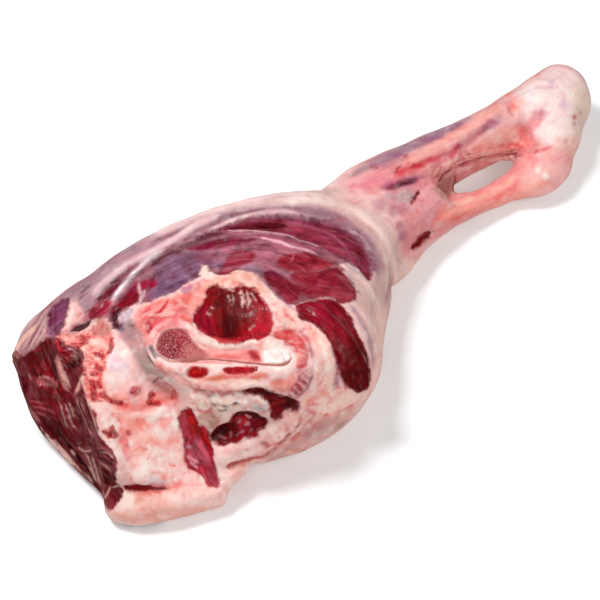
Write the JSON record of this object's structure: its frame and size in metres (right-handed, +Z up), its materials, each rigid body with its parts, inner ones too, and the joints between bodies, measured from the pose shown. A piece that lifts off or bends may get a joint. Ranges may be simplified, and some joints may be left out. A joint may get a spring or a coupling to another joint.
{
  "type": "leg of lamb",
  "caption": "Whole raw leg of lamb on its outer side: broad rump with the sawn hip bone, bare inner muscles edged in fat, slim shank with the slit behind the shin, and the covered hock.",
  "frame": {"origin": "on the flat patch that the thigh rests on, under the middle of the thigh", "axes": "+X runs from the rump to the hock, +Z is up towards the leg's inner side, +Y is towards the front of the thigh, where the fat is thickest"},
  "size_m": [0.5022, 0.191, 0.0966],
  "materials": {
    "flesh": "moist, semi-gloss: raw muscle, fat and membrane",
    "bone": "sawn, porous and moist"
  },
  "bodies": {
    "root": {"leg": "flesh", "hip_bone": "bone"}
  },
  "joints": []
}
